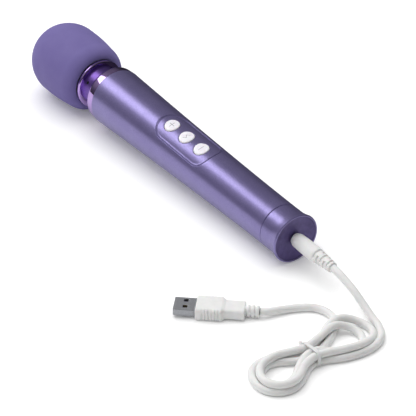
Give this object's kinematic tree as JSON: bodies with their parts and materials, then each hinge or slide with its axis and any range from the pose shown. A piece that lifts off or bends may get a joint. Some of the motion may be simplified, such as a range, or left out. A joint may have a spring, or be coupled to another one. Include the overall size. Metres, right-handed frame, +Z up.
{
  "type": "rechargeable wand massager",
  "caption": "Slim rechargeable wand massager with a soft domed head on a flexing collar neck, a tapered handle with a push-button panel, and a plugged-in charging lead.",
  "frame": {"origin": "middle of the wand's box without its charging lead, on the table that the wand lies on", "axes": "+Z up, +X along the wand from the head towards the charging socket, buttons facing up and turned 14 degrees towards -Y"},
  "size_m": [0.3528, 0.1137, 0.0456],
  "materials": {
    "soft_touch_silicone": "matt soft-touch silicone, moulded",
    "pearl_lacquer": "pearlescent violet lacquer over moulded ABS",
    "violet_chrome": "violet-tinted mirror plating over ABS",
    "end_satin": "satin moulded ABS",
    "button_white": "satin moulded white ABS",
    "shell_abs": "moulded ABS, unpainted",
    "black_rubber": "moulded rubber",
    "clear_silicone": "translucent silicone",
    "plated_steel": "zinc or nickel plated steel",
    "black_plastic": "moulded nylon",
    "ferrite": "sintered ferrite",
    "bronze": "sintered bronze",
    "copper_wound": "enamelled copper and laminated core",
    "board_green": "glass-fibre board with solder mask",
    "cell_wrap": "shrink-wrapped steel cell",
    "wire_red": "PVC insulated wire",
    "cord_white": "white PVC, moulded and extruded",
    "contact_gold": "gold flashed contact"
  },
  "bodies": {
    "handle": {"neck_post": "plated_steel", "upper_collar": "violet_chrome", "neck_sleeve": "violet_chrome", "neck_set_screws": "plated_steel", "lower_collar": "violet_chrome", "handle_tube": "pearl_lacquer", "control_panel": "pearl_lacquer", "keypad_membrane": "clear_silicone", "tact_switches": "plated_steel", "control_board": "board_green", "board_parts": "black_plastic", "board_screws": "plated_steel", "chassis_frame": "shell_abs", "battery_cell": "cell_wrap", "battery_pads": "black_rubber", "battery_leads": "wire_red", "neck_leads": "wire_red", "charge_leads": "wire_red", "tail_ring": "pearl_lacquer", "tail_seal": "black_rubber", "tail_plate": "end_satin", "jack_body": "black_plastic", "jack_pin": "plated_steel"},
    "head": {"head_cover": "soft_touch_silicone", "head_crown_shell": "shell_abs", "head_base_shell": "shell_abs", "motor_can": "plated_steel", "motor_end_cap": "black_plastic", "motor_magnets": "ferrite", "motor_bushes": "bronze", "motor_sleeve": "black_rubber", "motor_cradle": "shell_abs", "motor_bracket": "plated_steel", "motor_screws": "plated_steel", "neck_stem": "plated_steel", "head_leads": "wire_red"},
    "rotor": {"motor_shaft": "plated_steel", "armature": "copper_wound", "commutator": "copper_wound", "eccentric_weight": "plated_steel"},
    "neck": {"neck_core": "black_rubber"},
    "plus_key": {"button_plus": "button_white", "plunger_plus": "black_plastic"},
    "mode_key": {"button_mode": "button_white", "plunger_mode": "black_plastic"},
    "minus_key": {"button_minus": "button_white", "plunger_minus": "black_plastic"},
    "lead": {"plug_sleeve": "plated_steel", "plug_grip": "cord_white", "plug_boot": "cord_white", "cord_to_plug": "cord_white", "cord_hank": "cord_white", "twist_tie": "cord_white", "cord_to_usb": "cord_white", "usb_boot": "cord_white", "usb_grip": "cord_white", "usb_shell": "plated_steel", "usb_tongue": "black_plastic", "usb_contacts": "contact_gold"}
  },
  "joints": [
    {"name": "neck_nod", "type": "hinge", "parent": "handle", "child": "neck", "pos_m": [-0.06121, 0, 0.0215], "axis": [0.0081, 0.9703, 0.2418], "range_deg": [-10, 10], "stiffness_Nm_per_rad": 5},
    {"name": "neck_sway", "type": "hinge", "parent": "neck", "child": "head", "pos_m": [-0.06121, 0, 0.0215], "axis": [0.0327, -0.2419, 0.9697], "range_deg": [-10, 10], "stiffness_Nm_per_rad": 5},
    {"name": "motor_spin", "type": "hinge", "parent": "head", "child": "rotor", "pos_m": [-0.10319, 0, 0.02291], "axis": [-0.9994, 0, 0.0337], "continuous": true},
    {"name": "plus_press", "type": "slide", "parent": "handle", "child": "plus_key", "axis": [-0.0327, 0.2419, -0.9697], "range_m": [0, 0.0008], "stiffness_N_per_m": 500, "springref_m": -0.0004},
    {"name": "mode_press", "type": "slide", "parent": "handle", "child": "mode_key", "axis": [-0.0327, 0.2419, -0.9697], "range_m": [0, 0.0008], "stiffness_N_per_m": 500, "springref_m": -0.0004},
    {"name": "minus_press", "type": "slide", "parent": "handle", "child": "minus_key", "axis": [-0.0327, 0.2419, -0.9697], "range_m": [0, 0.0008], "stiffness_N_per_m": 500, "springref_m": -0.0004},
    {"name": "plug_pull", "type": "slide", "parent": "handle", "child": "lead", "axis": [0.9994, 0, -0.0337], "range_m": [0, 0.014]}
  ]
}
